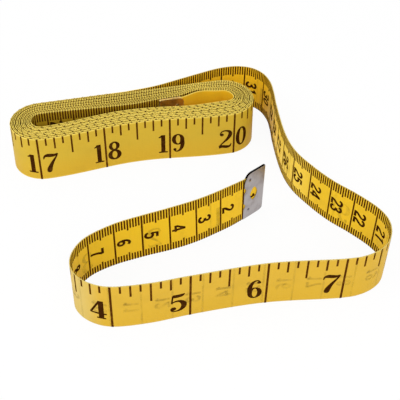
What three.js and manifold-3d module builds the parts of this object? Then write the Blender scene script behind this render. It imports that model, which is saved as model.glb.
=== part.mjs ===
// A dressmaker's tape measure, standing on its lower edge. Most of the cloth tape is wound into a long
// flat hank. Its free end leaves the hank at the back, goes round the hank's right end, and comes home
// in front of it through two open folds. A crimped steel ferrule closes each end of the tape.
// +X runs along the hank to the right, +Y away from the viewer, +Z up. The origin is at the middle of
// the layout, on the surface that the tape stands on.
import * as THREE from 'three';
import { mergeVertices } from 'three/addons/utils/BufferGeometryUtils.js';
import Module from 'manifold-3d';

// Driving dimensions, in millimetres
const tapeWidth = 19;
const tapeThickness = 0.15;
const meetingGap = 0.3;
const layoutSpan = 100;
const stationStep = 2.6;

// The steel ferrules, in millimetres
const ferruleLength = 10;
const ferruleThickness = 1.35;
const tipFerruleRise = 1.8;
const innerFerruleRise = 0.2;
const ferruleCornerRadius = 2.2;
const ferruleShoulderDrop = 3.2;
const ferruleShoulderRun = 3;
const ferruleNotchHalfHeight = 1.3;
const ferruleNotchDepth = 0.8;
const ferruleSlotEnd = 0.6;
const ferruleHoleHalfWidth = 1.8;
const ferruleHoleHalfHeight = 3;
const ferruleHoleFromTip = 5.3;

// Counts, shares and angles
const quarters = 4;
const hankTurns = 13.955;
const exitShare = 0.526;
const wallSteps = 8;
const endSteps = 12;
const standoffTurns = 0.08;
const ferruleTurns = 0.037;
const hankTurnDegrees = 12.8;
const holeHeightShare = 0.5;
const lowNotchShare = 0.33;
const highNotchShare = 0.72;
const curveSegments = 8;

// The wound hank in plan, as shares of the layout's span: two round ends, joined by walls that are drawn
// in between them, and the distance from one turn to the next
const leftEndShare = 0.117;
const rightEndShare = 0.1215;
const endSpacingShare = 0.718;
const endOffsetShare = 0.021;
const backDrawInShare = 0.001;
const frontDrawInShare = 0.0265;
const turnPitchAtEndsShare = 0.00582;
const turnPitchAtWaistShare = 0.0068;
const ferruleRearStandoffShare = 0.009;
const ferruleTipStandoffShare = 0.005;

// The free end's route in plan, from the tip to the hank, as shares of the layout's span
const routeShares = [
  [0.272, -0.037], [0.203, -0.098], [0.118, -0.16], [0.034, -0.214], [-0.056, -0.258], [-0.149, -0.297],
  [-0.24, -0.34], [-0.32, -0.399], [-0.349, -0.442], [-0.362, -0.49], [-0.355, -0.538], [-0.325, -0.577],
  [-0.279, -0.603], [-0.227, -0.612], [-0.105, -0.593], [0.021, -0.557], [0.268, -0.498], [0.52, -0.471],
  [0.574, -0.459], [0.622, -0.434], [0.658, -0.398], [0.677, -0.35], [0.676, -0.294], [0.652, -0.241],
  [0.585, -0.165], [0.512, -0.099], [0.447, -0.021], [0.392, 0.064], [0.361, 0.158], [0.335, 0.349],
  [0.329, 0.434], [0.318, 0.506], [0.29, 0.566], [0.247, 0.602], [0.188, 0.613], [0.115, 0.597],
  [0.028, 0.554], [-0.048, 0.512], [-0.15, 0.457], [-0.263, 0.4145],
];
// The stretches of the free end, as the numbers of the route's points where each begins and ends
const stretches = {
  tip_run: [0, 7],
  left_fold: [7, 12],
  front_run: [12, 18],
  right_fold: [18, 23],
  right_run: [23, 28],
  back_bend: [28, 39],
};

const clothColour = 0xd8a72a;
const steelColour = 0x8d8f93;
const cloth = new THREE.MeshStandardMaterial({ color: clothColour, roughness: 0.7, metalness: 0 });
const steel = new THREE.MeshStandardMaterial({ color: steelColour, roughness: 0.35, metalness: 1 });

const wasm = await Module();
wasm.setup();

const routePoints = routeShares.map(([x, y]) => new THREE.Vector3(x, y, 0).multiplyScalar(layoutSpan));
const route = new THREE.CatmullRomCurve3(routePoints, false, 'centripetal');

// The left-hand side of a direction, seen from above
function leftOf(direction) {
  return new THREE.Vector3(-direction.y, direction.x, 0);
}

// The stations of one stretch of the free end: points and directions, pulled in by half a gap at each end
function stretchStations([first, last]) {
  const stations = [];
  for (let span = first; span < last; span += 1) {
    const spanLength = routePoints[span].distanceTo(routePoints[span + 1]);
    const steps = Math.ceil(spanLength / stationStep);
    const lastStep = span === last - 1 ? steps : steps - 1;
    for (let step = 0; step <= lastStep; step += 1) {
      const share = (span + step / steps) / (routePoints.length - 1);
      stations.push({ point: route.getPoint(share), direction: route.getTangent(share) });
    }
  }
  const [start, end] = [stations[0], stations[stations.length - 1]];
  start.point.addScaledVector(start.direction, meetingGap / 2);
  end.point.addScaledVector(end.direction, -meetingGap / 2);
  return stations;
}

// A closed strip of the tape that stands on its edge along the stations, four corners at each
function stripGeometry(stations) {
  const corners = [];
  const faces = [];
  for (const { point, direction } of stations) {
    const side = leftOf(direction).multiplyScalar(tapeThickness / 2);
    corners.push(point.x + side.x, point.y + side.y, 0);
    corners.push(point.x - side.x, point.y - side.y, 0);
    corners.push(point.x - side.x, point.y - side.y, tapeWidth);
    corners.push(point.x + side.x, point.y + side.y, tapeWidth);
  }
  const cornerCount = 4;
  for (let station = 1; station < stations.length; station += 1) {
    for (let corner = 0; corner < cornerCount; corner += 1) {
      const next = (corner + 1) % cornerCount;
      const here = (station - 1) * cornerCount;
      const there = station * cornerCount;
      faces.push(here + corner, there + corner, there + next);
      faces.push(here + corner, there + next, here + next);
    }
  }
  const end = (stations.length - 1) * cornerCount;
  for (let corner = 1; corner + 1 < cornerCount; corner += 1) {
    faces.push(0, corner, corner + 1);
    faces.push(end, end + corner + 1, end + corner);
  }
  const geometry = new THREE.BufferGeometry();
  geometry.setAttribute('position', new THREE.Float32BufferAttribute(corners, 3));
  geometry.setIndex(faces);
  geometry.computeVertexNormals();
  return geometry;
}

// The hank's outline, at a place counted in quarters: back wall, left end, front wall, right end. It
// gives the point, the direction of travel, and how near a wall's waist the place is, from 0 to 1.
function hankOutline(place) {
  const quarter = Math.floor(place) % quarters;
  const share = place - Math.floor(place);
  const left = new THREE.Vector3(-endSpacingShare / 2, -endOffsetShare / 2, 0);
  const right = new THREE.Vector3(endSpacingShare / 2, endOffsetShare / 2, 0);
  if (quarter === 1 || quarter === 3) {
    const [centre, radius] = quarter === 1 ? [left, leftEndShare] : [right, rightEndShare];
    const angle = (quarter === 1 ? Math.PI / 2 : -Math.PI / 2) + Math.PI * share;
    const radial = new THREE.Vector3(Math.cos(angle), Math.sin(angle), 0);
    const point = centre.clone().addScaledVector(radial, radius).multiplyScalar(layoutSpan);
    return { point, direction: leftOf(radial), waist: 0 };
  }
  const front = quarter === 2;
  const from = front ? left.clone() : right.clone();
  const to = front ? right.clone() : left.clone();
  from.y += front ? -leftEndShare : rightEndShare;
  to.y += front ? -rightEndShare : leftEndShare;
  const drawIn = front ? frontDrawInShare : -backDrawInShare;
  const waist = Math.sin(Math.PI * share) ** 2;
  const point = from.clone().lerp(to, share);
  point.y += drawIn * waist;
  const direction = to.clone().sub(from);
  direction.y += drawIn * Math.PI * Math.sin(2 * Math.PI * share);
  return { point: point.multiplyScalar(layoutSpan), direction: direction.normalize(), waist };
}

// Each turn lies one pitch inside the turn before it, and the pitch is wider at the waist. Near the inner
// end the tape stands off the turns behind it, which leaves room for the ferrule. It stands furthest off
// where the ferrule begins, and the ferrule leans back from there.
function windingPoint(place) {
  const { point, direction, waist } = hankOutline(place);
  const progress = (place - exitShare) / quarters;
  const pitch = THREE.MathUtils.lerp(turnPitchAtEndsShare, turnPitchAtWaistShare, waist);
  const ferruleStart = hankTurns - ferruleTurns;
  const leaving = THREE.MathUtils.smoothstep(progress, hankTurns - standoffTurns, ferruleStart);
  const leaning = Math.max(progress - ferruleStart, 0) / ferruleTurns;
  const standoff = THREE.MathUtils.lerp(ferruleRearStandoffShare, ferruleTipStandoffShare, leaning);
  const inset = progress * pitch + leaving * standoff;
  return point.addScaledVector(leftOf(direction), inset * layoutSpan);
}

// The winding, from where the free end joins it to its inner end, turned and set against the free end
function windingStations() {
  const lastPlace = exitShare + quarters * hankTurns;
  const places = [exitShare];
  for (let quarter = 0; quarter < lastPlace; quarter += 1) {
    const steps = quarter % 2 === 0 ? wallSteps : endSteps;
    for (let step = 0; step < steps; step += 1) {
      const place = quarter + step / steps;
      if (place > exitShare && place < lastPlace) places.push(place);
    }
  }
  places.push(lastPlace);
  const turn = new THREE.Matrix4().makeRotationZ(THREE.MathUtils.degToRad(hankTurnDegrees));
  const points = places.map((place) => windingPoint(place).applyMatrix4(turn));
  const shift = routePoints[routePoints.length - 1].clone().sub(points[0]);
  points.forEach((point) => point.add(shift));
  const stations = points.map((point, index) => {
    const before = points[Math.max(index - 1, 0)];
    const after = points[Math.min(index + 1, points.length - 1)];
    return { point, direction: after.clone().sub(before).normalize() };
  });
  stations[0].point.addScaledVector(stations[0].direction, meetingGap / 2);
  return stations;
}

// The distance in plan from a point to the line between two others
function distanceToLine(point, from, to) {
  const along = to.clone().sub(from);
  const share = THREE.MathUtils.clamp(point.clone().sub(from).dot(along) / along.lengthSq(), 0, 1);
  return point.distanceTo(from.clone().addScaledVector(along, share));
}

// The least gap between turns of the winding, measured from points to lines more than half a turn on
function leastGap(stations) {
  const halfTurn = wallSteps + endSteps;
  let least = Infinity;
  for (let here = 0; here < stations.length; here += 1) {
    for (let there = here + halfTurn; there + 1 < stations.length; there += 1) {
      const gap = distanceToLine(stations[here].point, stations[there].point, stations[there + 1].point);
      least = Math.min(least, gap - tapeThickness);
    }
  }
  return least;
}

// The length in plan through the stations
function stripLength(stations) {
  let length = 0;
  for (let index = 1; index < stations.length; index += 1) {
    length += stations[index].point.distanceTo(stations[index - 1].point);
  }
  return length;
}

// A closed body for joins and cuts
function solidOf(geometry) {
  const bare = geometry.clone();
  bare.deleteAttribute('normal');
  bare.deleteAttribute('uv');
  const merged = mergeVertices(bare);
  const vertProperties = new Float32Array(merged.attributes.position.array);
  const triVerts = new Uint32Array(merged.index.array);
  return new wasm.Manifold(new wasm.Mesh({ numProp: 3, vertProperties, triVerts }));
}

// The geometry of a closed body
function geometryOf(solid) {
  const mesh = solid.getMesh();
  const geometry = new THREE.BufferGeometry();
  geometry.setAttribute('position', new THREE.Float32BufferAttribute(mesh.vertProperties, 3));
  geometry.setIndex(Array.from(mesh.triVerts));
  geometry.computeVertexNormals();
  return geometry;
}

// A ferrule in its own frame: its tip at the origin, the tape coming in along +X, and the plates either
// side of y = 0. It is a folded strip of steel, joined at the tip and open above, below and behind. It
// rises over the tape's upper edge.
function ferruleGeometry(rise) {
  const height = tapeWidth + rise;
  const shoulderFoot = height - ferruleShoulderDrop;
  const shoulderBend = ferruleLength - ferruleShoulderRun / 3;
  const sharpCorner = ferruleCornerRadius / 4;
  const notchPull = ferruleLength - ferruleNotchDepth * 2;
  const side = new THREE.Shape();
  side.moveTo(ferruleCornerRadius, 0);
  side.lineTo(ferruleLength, 0);
  for (const share of [lowNotchShare, highNotchShare]) {
    const middle = tapeWidth * share;
    side.lineTo(ferruleLength, middle - ferruleNotchHalfHeight);
    side.quadraticCurveTo(notchPull, middle, ferruleLength, middle + ferruleNotchHalfHeight);
  }
  side.lineTo(ferruleLength, shoulderFoot);
  side.quadraticCurveTo(shoulderBend, height, ferruleLength - ferruleShoulderRun, height);
  side.lineTo(sharpCorner, height);
  side.quadraticCurveTo(0, height, 0, height - sharpCorner);
  side.lineTo(0, ferruleCornerRadius);
  side.quadraticCurveTo(0, 0, ferruleCornerRadius, 0);
  const hole = new THREE.Path();
  const [halfWidth, halfHeight] = [ferruleHoleHalfWidth, ferruleHoleHalfHeight];
  hole.absellipse(ferruleHoleFromTip, height * holeHeightShare, halfWidth, halfHeight, 0, 2 * Math.PI);
  side.holes.push(hole);
  const drawing = { depth: ferruleThickness, bevelEnabled: false, curveSegments };
  const plate = new THREE.ExtrudeGeometry(side, drawing);
  plate.rotateX(Math.PI / 2);
  plate.translate(0, ferruleThickness / 2, 0);
  const slotWidth = tapeThickness + 2 * meetingGap;
  const slot = new THREE.BoxGeometry(ferruleLength, slotWidth, 2 * height);
  slot.translate(ferruleSlotEnd + ferruleLength / 2, 0, height / 2);
  return geometryOf(solidOf(plate).subtract(solidOf(slot)));
}

// A named piece of the part
function piece(name, geometry, material) {
  const mesh = new THREE.Mesh(geometry, material);
  mesh.name = name;
  return mesh;
}

// A ferrule set on an end of the tape: its tip at a point, with the tape coming in along a direction
function placedFerrule(name, rise, tip, inward) {
  const ferrule = piece(name, ferruleGeometry(rise), steel);
  ferrule.position.copy(tip);
  ferrule.rotation.z = Math.atan2(inward.y, inward.x);
  return ferrule;
}

const group = new THREE.Group();
const winding = windingStations();
const innerEnd = winding[winding.length - 1];
let freeLength = 0;
for (const [name, ends] of Object.entries(stretches)) {
  const stations = stretchStations(ends);
  if (name === 'tip_run') {
    const tip = stations[0];
    const inset = ferruleSlotEnd + meetingGap / 2;
    group.add(placedFerrule('tip_ferrule', tipFerruleRise, routePoints[0], tip.direction));
    tip.point.addScaledVector(tip.direction, inset);
  }
  freeLength += stripLength(stations);
  group.add(piece(name, stripGeometry(stations), cloth));
}
group.add(piece('wound_hank', stripGeometry(winding), cloth));
const innerTipReach = ferruleSlotEnd + meetingGap;
const innerTip = innerEnd.point.clone().addScaledVector(innerEnd.direction, innerTipReach);
const innerInward = innerEnd.direction.clone().negate();
group.add(placedFerrule('inner_ferrule', innerFerruleRise, innerTip, innerInward));

const wholeLength = freeLength + stripLength(winding);
console.log(`least gap between turns of the hank: ${leastGap(winding).toFixed(3)} mm`);
console.log(`length of tape: ${wholeLength.toFixed(0)} mm, of which free ${freeLength.toFixed(0)} mm`);

export default group;
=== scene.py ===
"""Looks of a dressmaker's cloth tape measure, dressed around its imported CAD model.

One long coated strip stands on its lower edge. Most of it is wound into a flat hank, and its free end
comes round the hank's right end and home through two open folds. Everything is placed along the strip:
`along` is the distance from the free end's tip, `out` the distance to the left of the strip's middle,
and `up` the height. The centimetre face is on the left, the inch face on the right.
"""

import logging
from dataclasses import dataclass, field, replace
from enum import Enum
from typing import Callable

import bpy
import numpy as np
from bpy.types import Material, Node, NodeSocket, Object, World
from mathutils import Matrix, Vector
from mathutils.geometry import delaunay_2d_cdt


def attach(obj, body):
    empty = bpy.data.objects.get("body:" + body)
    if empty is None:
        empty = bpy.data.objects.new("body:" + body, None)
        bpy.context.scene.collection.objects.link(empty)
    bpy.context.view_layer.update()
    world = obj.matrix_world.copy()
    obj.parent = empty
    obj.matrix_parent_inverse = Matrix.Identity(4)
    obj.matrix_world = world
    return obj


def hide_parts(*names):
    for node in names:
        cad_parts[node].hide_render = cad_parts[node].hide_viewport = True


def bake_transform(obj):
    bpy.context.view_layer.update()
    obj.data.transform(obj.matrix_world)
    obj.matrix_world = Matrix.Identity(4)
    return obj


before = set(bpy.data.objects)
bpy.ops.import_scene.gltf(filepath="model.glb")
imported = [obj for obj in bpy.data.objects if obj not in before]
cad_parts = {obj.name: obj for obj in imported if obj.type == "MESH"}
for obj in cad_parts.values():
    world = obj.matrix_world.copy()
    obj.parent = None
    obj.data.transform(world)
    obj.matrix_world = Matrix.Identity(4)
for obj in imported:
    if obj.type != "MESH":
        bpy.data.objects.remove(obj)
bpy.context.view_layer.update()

MM = 0.001
LOG = logging.getLogger("tape_measure")

Array = np.ndarray
Pair = tuple[float, float]
Triple = tuple[float, float, float]
Colour = Triple
WHITE = (1.0, 1.0, 1.0, 1.0)


class Tone(Enum):
    """The two strengths of print, as material slots."""

    DIGITS = 0
    BARS = 1


class Face(Enum):
    """The strip's two printed faces, as the side of the strip's middle that each lies on."""

    CENTIMETRES = 1
    INCHES = -1


# Helpers for curves and meshes


def smoothstep(value: Array, low: float, high: float) -> Array:
    """A smooth rise from 0 at low to 1 at high: t * t * (3 - 2 * t), with t the clamped share."""
    share = np.clip((value - low) / (high - low), 0, 1)
    return share * share * (3 - 2 * share)


def eased(value: Array, stations: Array, levels: Array) -> Array:
    """Levels at stations in rising order, joined by smooth rises and falls, and held past the ends.

    Args:
        value: Where the level is wanted.
        stations: The places that have a level of their own.
        levels: The level at each station.

    Returns:
        The level at each value.
    """
    after = np.clip(np.searchsorted(stations, value), 1, len(stations) - 1)
    share = smoothstep(value, stations[after - 1], stations[after])
    return levels[after - 1] + (levels[after] - levels[after - 1]) * share


def catmull_rom(points: Array, samples: int) -> Array:
    """A centripetal Catmull-Rom curve, as whole arrays.

    Between points 1 and 2 of each four, the cubic starts and ends with the slopes of the parabolas
    through three points at a time, whose knots are spaced by the square root of the distance.

    Args:
        points: The points that the curve passes through, one row each.
        samples: How many steps each span between two points is cut into.

    Returns:
        The points of the curve, from the first point to the last.
    """
    ends = (2 * points[:1] - points[1:2], points, 2 * points[-1:] - points[-2:-1])
    padded = np.concatenate(ends)
    knots = np.sqrt(np.linalg.norm(np.diff(padded, axis=0), axis=1))[:, None]
    before, first, second, after = padded[:-3], padded[1:-2], padded[2:-1], padded[3:]
    gap_0, gap_1, gap_2 = knots[:-2], knots[1:-1], knots[2:]
    chord = (second - first) / gap_1
    slope_1 = ((first - before) / gap_0 - (second - before) / (gap_0 + gap_1) + chord) * gap_1
    slope_2 = (chord - (after - first) / (gap_1 + gap_2) + (after - second) / gap_2) * gap_1
    share = np.linspace(0, 1, samples, endpoint=False)[None, :, None]
    square, cube = share**2, share**3
    curve = (
        (2 * cube - 3 * square + 1) * first[:, None]
        + (cube - 2 * square + share) * slope_1[:, None]
        + (3 * square - 2 * cube) * second[:, None]
        + (cube - square) * slope_2[:, None]
    )
    return np.concatenate((curve.reshape(-1, points.shape[1]), points[-1:]))


def grid_faces(rows: int, columns: int) -> Array:
    """The four corners of each cell of a grid whose points are numbered row by row."""
    corner = (np.arange(rows - 1)[:, None] * columns + np.arange(columns - 1)).reshape(-1, 1)
    return corner + np.array([0, columns, columns + 1, 1])


def slabs(outer: Array, inner: Array) -> tuple[Array, Array]:
    """Thin closed slabs between pairs of grids, with their faces pointing outwards.

    Each slab has the outer grid's cells, the inner grid's cells turned round, and a rim of cells that
    joins the two grids' borders. A slab is turned inside out where its outer cells face its inner grid.

    Args:
        outer: Points of the upper grids, shaped (slabs, rows, columns, 3).
        inner: Points of the lower grids, in the same order.

    Returns:
        The corner points, and the four corners of each face.
    """
    count, rows, columns, _ = outer.shape
    cells = grid_faces(rows, columns)
    numbers = np.arange(rows * columns).reshape(rows, columns)
    border = np.concatenate((numbers[0, :-1], numbers[:-1, -1], numbers[-1, :0:-1], numbers[:0:-1, 0]))
    ahead = np.roll(border, -1)
    shift = rows * columns
    rim = np.stack((border, ahead, ahead + shift, border + shift), axis=1)
    template = np.concatenate((cells, cells[:, ::-1] + shift, rim))
    points = np.concatenate((outer.reshape(count, shift, 3), inner.reshape(count, shift, 3)), axis=1)
    first = points[:, template[0]]
    facing = np.cross(first[:, 1] - first[:, 0], first[:, 3] - first[:, 0])
    inside_out = (facing * (points[:, 0] - points[:, shift])).sum(axis=1) < 0
    faces = np.where(inside_out[:, None, None], template[None, :, ::-1], template[None])
    faces = faces + (np.arange(count) * 2 * shift)[:, None, None]
    return points.reshape(-1, 3), faces.reshape(-1, 4)


def new_mesh(name: str, points: Array, faces: list[list[int]], sharp_degrees: float) -> Object:
    """A linked mesh object at the origin, smooth except over edges sharper than an angle.

    Args:
        name: The piece's name.
        points: The corner points, in metres.
        faces: The corners of each face.
        sharp_degrees: The angle from which an edge shades sharp.

    Returns:
        The new object.
    """
    mesh = bpy.data.meshes.new(name)
    mesh.from_pydata(points.tolist(), [], faces, shade_flat=False)
    mesh.set_sharp_from_angle(angle=np.radians(sharp_degrees))
    piece = bpy.data.objects.new(name, mesh)
    bpy.context.scene.collection.objects.link(piece)
    return piece


# The strip's line in plan
QUARTERS = 4


@dataclass(frozen=True)
class HankPlan:
    """The wound hank's plan, in metres: two round ends joined by walls drawn in between them.

    The back wall is drawn in by less than nothing: it stands out a little. The pitches are places
    round the outline, in quarters, and how far apart the turns lie there, in millimetres. The hank is
    turned by an angle in degrees.
    """

    left_end: float = 11.63 * MM
    right_end: float = 12.12 * MM
    spacing: float = 71.89 * MM
    back_draw_in: float = -0.1 * MM
    front_draw_in: float = 2.82 * MM
    pitches: tuple[Pair, ...] = (
        (0.0, 0.535), (0.12, 0.398), (0.26, 0.579), (0.5, 0.688), (1.0, 0.55), (1.5, 0.597),
        (2.0, 0.568), (2.4, 0.634), (2.75, 0.596), (3.0, 0.69), (3.5, 0.579), (4.0, 0.535),
    )
    rear_standoff: float = 0.9 * MM
    tip_standoff: float = 0.5 * MM
    standoff_turns: float = 0.08
    ferrule_turns: float = 0.037
    bunching: float = 0.11
    bunch_turns: float = 3.3
    turns: float = 13.955
    exit_place: float = 0.519
    turned: float = 14.42
    samples_a_turn: int = 360

    def outline(self, place: Array) -> tuple[Array, Array]:
        """The hank's outline, at places counted in quarters: back wall, left end, front wall, right end.

        The ends are arcs of two circles, up to where the circles' common tangents touch them. A wall
        runs along its tangent, moved in by the sine squared of its share times its draw-in.

        Args:
            place: Where on the outline, from 0 to 4 for each turn.

        Returns:
            The points, and the directions of travel.
        """
        quarter = np.floor(place).astype(int)[:, None] % QUARTERS
        share = (place - np.floor(place))[:, None]
        at_end, front, left_side = quarter % 2 == 1, quarter == 2, quarter == 1
        middle = np.array([self.spacing / 2, 0])
        touch = np.pi / 2 + np.arcsin((self.right_end - self.left_end) / self.spacing)
        angle = np.where(left_side, touch + 2 * (np.pi - touch) * share, touch * (2 * share - 1))
        radial = np.concatenate((np.cos(angle), np.sin(angle)), axis=1)
        arc = np.where(left_side, radial * self.left_end - middle, radial * self.right_end + middle)
        back = np.array([np.cos(touch), np.sin(touch)])
        ahead = back * np.array([1, -1])
        start = np.where(front, ahead * self.left_end - middle, back * self.right_end + middle)
        stop = np.where(front, ahead * self.right_end + middle, back * self.left_end - middle)
        draw_in = np.where(front, self.front_draw_in, -self.back_draw_in)
        wall = start + (stop - start) * share
        wall[:, 1:] += draw_in * np.sin(np.pi * share) ** 2
        slope = stop - start
        slope[:, 1:] += draw_in * np.pi * np.sin(2 * np.pi * share)
        slope /= np.linalg.norm(slope, axis=1)[:, None]
        turned = np.stack((-radial[:, 1], radial[:, 0]), axis=1)
        return np.where(at_end, arc, wall), np.where(at_end, turned, slope)

    def winding(self, start: Array) -> Array:
        """The winding's middle line, from the place where the free end joins it to its inner end.

        Each turn lies one pitch inside the turn before it, and every few turns lie closer and then
        wider by a sine. Near the inner end the tape stands off its neighbour, furthest where the
        ferrule begins.

        Args:
            start: The point where the winding begins.

        Returns:
            The line's points.
        """
        count = round(self.turns * self.samples_a_turn)
        place = self.exit_place + np.linspace(0, QUARTERS * self.turns, count)
        point, direction = self.outline(place)
        progress = (place - self.exit_place) / QUARTERS
        stations, levels = np.array(self.pitches).T
        pitch = eased(place % QUARTERS, stations, levels * MM)
        ferrule_start = self.turns - self.ferrule_turns
        leaving = smoothstep(progress, self.turns - self.standoff_turns, ferrule_start)
        leaning = np.clip(progress - ferrule_start, 0, None) / self.ferrule_turns
        standoff = self.rear_standoff + (self.tip_standoff - self.rear_standoff) * leaning
        bunched = progress + self.bunching * np.sin(2 * np.pi * progress / self.bunch_turns)
        inset = bunched * pitch + leaving * standoff
        line = point + np.stack((-direction[:, 1], direction[:, 0]), axis=1) * inset[:, None]
        cosine, sine = np.cos(np.radians(self.turned)), np.sin(np.radians(self.turned))
        line = line @ np.array([[cosine, sine], [-sine, cosine]])
        return line + (start - line[0])


@dataclass(frozen=True)
class StripLine:
    """The whole strip's middle line, and the one rule that puts anything on it.

    The free end's route is the CAD model's, from the tip to the hank, in millimetres in plan. The
    leans are lengths from the tip, with how far to the left the foot and the top stand there, in
    millimetres: the tip's run leans back, and the hank's foot spreads.
    """

    width: float = 19 * MM
    thickness: float = 0.32 * MM
    route: tuple[Pair, ...] = (
        (27.2, -3.7), (20.3, -9.8), (11.8, -16.0), (3.4, -21.4), (-5.6, -25.8), (-14.9, -29.7),
        (-24.0, -34.0), (-32.0, -39.9), (-34.9, -44.2), (-36.2, -49.0), (-35.5, -53.8), (-32.5, -57.7),
        (-27.9, -60.3), (-22.7, -61.2), (-10.5, -59.3), (2.1, -55.7), (26.8, -49.8), (52.0, -47.1),
        (57.4, -45.9), (62.2, -43.4), (65.8, -39.8), (67.7, -35.0), (67.6, -29.4), (65.2, -24.1),
        (58.5, -16.5), (51.2, -9.9), (44.7, -2.1), (39.2, 6.4), (36.1, 15.8), (33.5, 34.9),
        (32.9, 43.4), (31.8, 50.6), (29.0, 56.6), (24.7, 60.2), (18.8, 61.3), (11.5, 59.7),
        (2.8, 55.4), (-4.8, 51.2), (-15.0, 45.7), (-26.3, 41.45),
    )
    leans: tuple[Triple, ...] = (
        (4, 0.1, -0.1), (18, 0.75, -0.35), (34, 0.8, -0.55), (52, 0.3, -0.35), (70, -0.3, -0.15),
        (90, 0.0, 0.0), (195, 0.0, 0.0), (208, -0.6, -0.4), (226, -0.35, -0.1), (262, 0.0, 0.0),
        (325, 0.0, 0.0), (362, -0.42, 0.0),
    )
    plan: HankPlan = HankPlan()
    samples: int = 40
    sway: float = 0.16 * MM
    sway_waves: Pair = (83 * MM, 47 * MM)
    sway_phase: float = 0.7
    short_sway: float = 0.6
    sway_start: Pair = (12 * MM, 40 * MM)
    sway_stop: float = 290 * MM
    lift: float = 0.11 * MM
    lift_rate: float = 2.618
    lift_start: Pair = (1.0, 1.6)
    points: Array = field(init=False, repr=False, compare=False)
    lengths: Array = field(init=False, repr=False, compare=False)
    sides: Array = field(init=False, repr=False, compare=False)
    marks: Array = field(init=False, repr=False, compare=False)

    def __post_init__(self) -> None:
        """Works out the line, the length up to each of its points, and the direction to its left."""
        controls = np.array(self.route) * MM
        free = catmull_rom(controls, self.samples)
        line = np.concatenate((free[:-1], self.plan.winding(controls[-1])))
        steps = np.linalg.norm(np.diff(line, axis=0), axis=1)
        lengths = np.concatenate(([0], np.cumsum(steps)))
        direction = np.gradient(line, lengths, axis=0)
        direction /= np.linalg.norm(direction, axis=1)[:, None]
        object.__setattr__(self, "points", line)
        object.__setattr__(self, "lengths", lengths)
        object.__setattr__(self, "sides", np.stack((-direction[:, 1], direction[:, 0]), axis=1))
        object.__setattr__(self, "marks", lengths[: len(free)][:: self.samples])

    @property
    def free_length(self) -> float:
        """The length of the free end, from its tip to the hank."""
        return float(self.marks[-1])

    @property
    def whole_length(self) -> float:
        """The length of the whole strip."""
        return float(self.lengths[-1])

    def mark(self, number: float) -> float:
        """The length from the tip to a point of the route, which may lie between two numbered points."""
        return float(np.interp(number, np.arange(len(self.marks)), self.marks))

    def place(self, along: Array, out: Array, up: Array) -> Array:
        """Puts tape places into space.

        The point is the middle line's point, moved to the left by `out` and raised by `up`. The strip
        leans by its list of leans, and its free end also sways, as two sines of its length. The hank's
        turns rise and fall a little, as one less the cosine of the number of turns times a rate.

        Args:
            along: Distances from the tip.
            out: Distances to the left of the middle line.
            up: Heights over the floor.

        Returns:
            The points, with the arrays' common shape and three numbers each.
        """
        along, out, up = np.broadcast_arrays(along, out, up)
        spread = np.stack([np.interp(along, self.lengths, self.points[:, axis]) for axis in (0, 1)], -1)
        side = np.stack([np.interp(along, self.lengths, self.sides[:, axis]) for axis in (0, 1)], -1)
        free = smoothstep(along, *self.sway_start) - smoothstep(along, self.sway_stop, self.free_length)
        long_wave, short_wave = (along * 2 * np.pi / wave for wave in self.sway_waves)
        sway = np.sin(long_wave + self.sway_phase) + self.short_sway * np.sin(short_wave)
        share = up / self.width
        stations, foot, top = np.array(self.leans).T * MM
        lean = eased(along, stations, foot) * (1 - share) + eased(along, stations, top) * share
        lean = lean + self.sway * sway * free * (share - 0.5)
        wound = along - self.free_length
        turns = np.clip(wound, 0, None) / (self.whole_length - self.free_length) * self.plan.turns
        rise = self.lift * (1 - np.cos(turns * self.lift_rate)) * smoothstep(turns, *self.lift_start)
        flat = spread + side * (out + lean)[..., None]
        return np.concatenate((flat, (up + rise)[..., None]), axis=-1)


# Digits
CURVE_SAMPLES = 8
PATCH_STEPS = 20
PATCH_COLUMNS = 4
LEAST_HOLE = 0.004


@dataclass(frozen=True)
class Stroke:
    """A pen stroke through nodes of x, y and pen width, in shares of the digit's height."""

    nodes: tuple[Triple, ...]

    def patch(self, weight: float) -> Array:
        """The stroke as a grid: the curve through the nodes, spread by half a pen width to each side.

        Args:
            weight: How many times as wide as drawn the pen is.

        Returns:
            Points of x and y, shaped (steps, columns, 2).
        """
        nodes = np.array(self.nodes)
        curve = nodes if len(nodes) == 2 else catmull_rom(nodes, CURVE_SAMPLES)
        spot = np.linspace(0, len(curve) - 1, PATCH_STEPS)
        curve = np.stack([np.interp(spot, np.arange(len(curve)), curve[:, k]) for k in range(3)], axis=1)
        run = np.gradient(curve[:, :2], axis=0)
        run /= np.linalg.norm(run, axis=1)[:, None]
        aside = np.stack((-run[:, 1], run[:, 0]), axis=1)[:, None]
        across = np.linspace(-0.5, 0.5, PATCH_COLUMNS)[None, :, None]
        return curve[:, None, :2] + aside * across * curve[:, None, 2:] * weight


@dataclass(frozen=True)
class Ring:
    """A ring between two ellipses round one middle, in shares of the digit's height."""

    x: float
    y: float
    width: float
    height: float
    hole_width: float = 0.0
    hole_height: float = 0.0

    def patch(self, weight: float) -> Array:
        """The ring as a grid: an angle round the middle, and a share from the hole to the outside.

        Args:
            weight: How bold the ring is. Above 1, its hole shrinks.

        Returns:
            Points of x and y, shaped (steps, columns, 2).
        """
        angle = np.linspace(0, 2 * np.pi, 2 * PATCH_STEPS)[:, None, None]
        share = np.linspace(0, 1, PATCH_COLUMNS)[None, :, None]
        turn = np.concatenate((np.cos(angle), np.sin(angle)), axis=2)
        outside = np.array([self.width, self.height])
        hole = np.array([self.hole_width, self.hole_height])
        hole = np.maximum(hole - (weight - 1) * (outside - hole), LEAST_HOLE)
        reach = hole * (1 - share) + outside * share
        return np.array([self.x, self.y]) + turn * reach


Shapes = tuple[Stroke | Ring, ...]


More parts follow.
